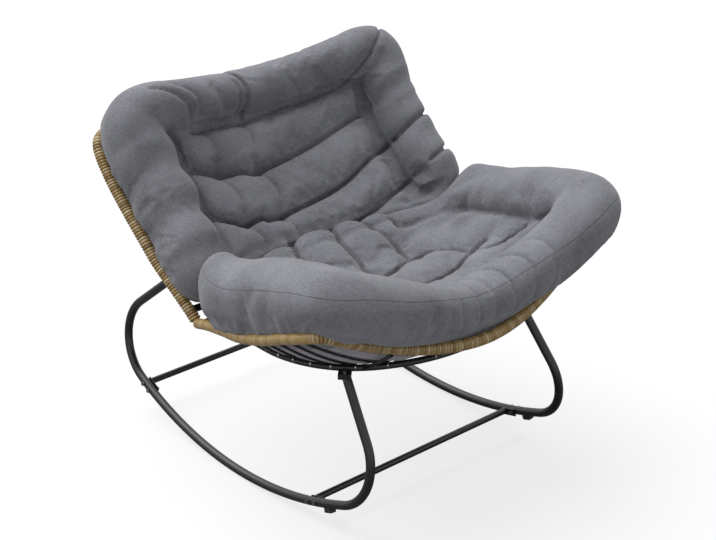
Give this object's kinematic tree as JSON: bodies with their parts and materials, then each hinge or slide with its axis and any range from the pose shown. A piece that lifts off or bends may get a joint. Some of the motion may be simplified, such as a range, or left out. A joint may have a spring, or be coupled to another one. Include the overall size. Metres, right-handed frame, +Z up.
{
  "type": "outdoor rocking chair",
  "caption": "Wide garden rocking chair: bent tube rockers, wire baskets with wound rims, deep rolled cushions on seat and back.",
  "frame": {"origin": "on the floor, midway between the lowest points of the two rockers", "axes": "+Z up, -Y the way a sitter faces, +X to the sitter's left; the chair is the same on both sides of X 0"},
  "size_m": [0.988, 1.0769, 0.9413],
  "materials": {
    "frame_steel": "black powder coat, satin",
    "fastener_steel": "blackened steel",
    "rim_winding": "wound tan strand, slight sheen",
    "pad_rubber": "matt black",
    "seat_fabric": "plain woven cloth, matt grey",
    "back_fabric": "plain woven cloth, matt grey"
  },
  "bodies": {
    "root": {"rocker_left": "frame_steel", "rocker_right": "frame_steel", "crossbar_front": "frame_steel", "crossbar_rear": "frame_steel", "crossbar_plugs": "fastener_steel", "crossbar_bolts": "fastener_steel", "crossbar_nuts": "fastener_steel", "floor_pads": "pad_rubber", "seat_hoop": "frame_steel", "back_hoop": "frame_steel", "leg_plates": "frame_steel", "leg_saddles": "frame_steel", "leg_bolts": "fastener_steel", "leg_nuts": "fastener_steel", "arm_plates": "frame_steel", "arm_saddles": "frame_steel", "arm_bolts": "fastener_steel", "arm_nuts": "fastener_steel", "seat_rim_tube": "frame_steel", "seat_rim_winding": "rim_winding", "seat_rear_bar": "frame_steel", "seat_rear_posts": "frame_steel", "seat_ribs": "frame_steel", "front_struts": "frame_steel", "back_rim_tube": "frame_steel", "back_rim_winding": "rim_winding", "back_lower_bar": "frame_steel", "back_ribs": "frame_steel", "seat_lugs": "frame_steel", "back_lugs": "frame_steel", "lug_bolts": "fastener_steel", "lug_nuts": "fastener_steel", "seat_cushion": "seat_fabric", "back_cushion": "back_fabric"}
  },
  "joints": []
}
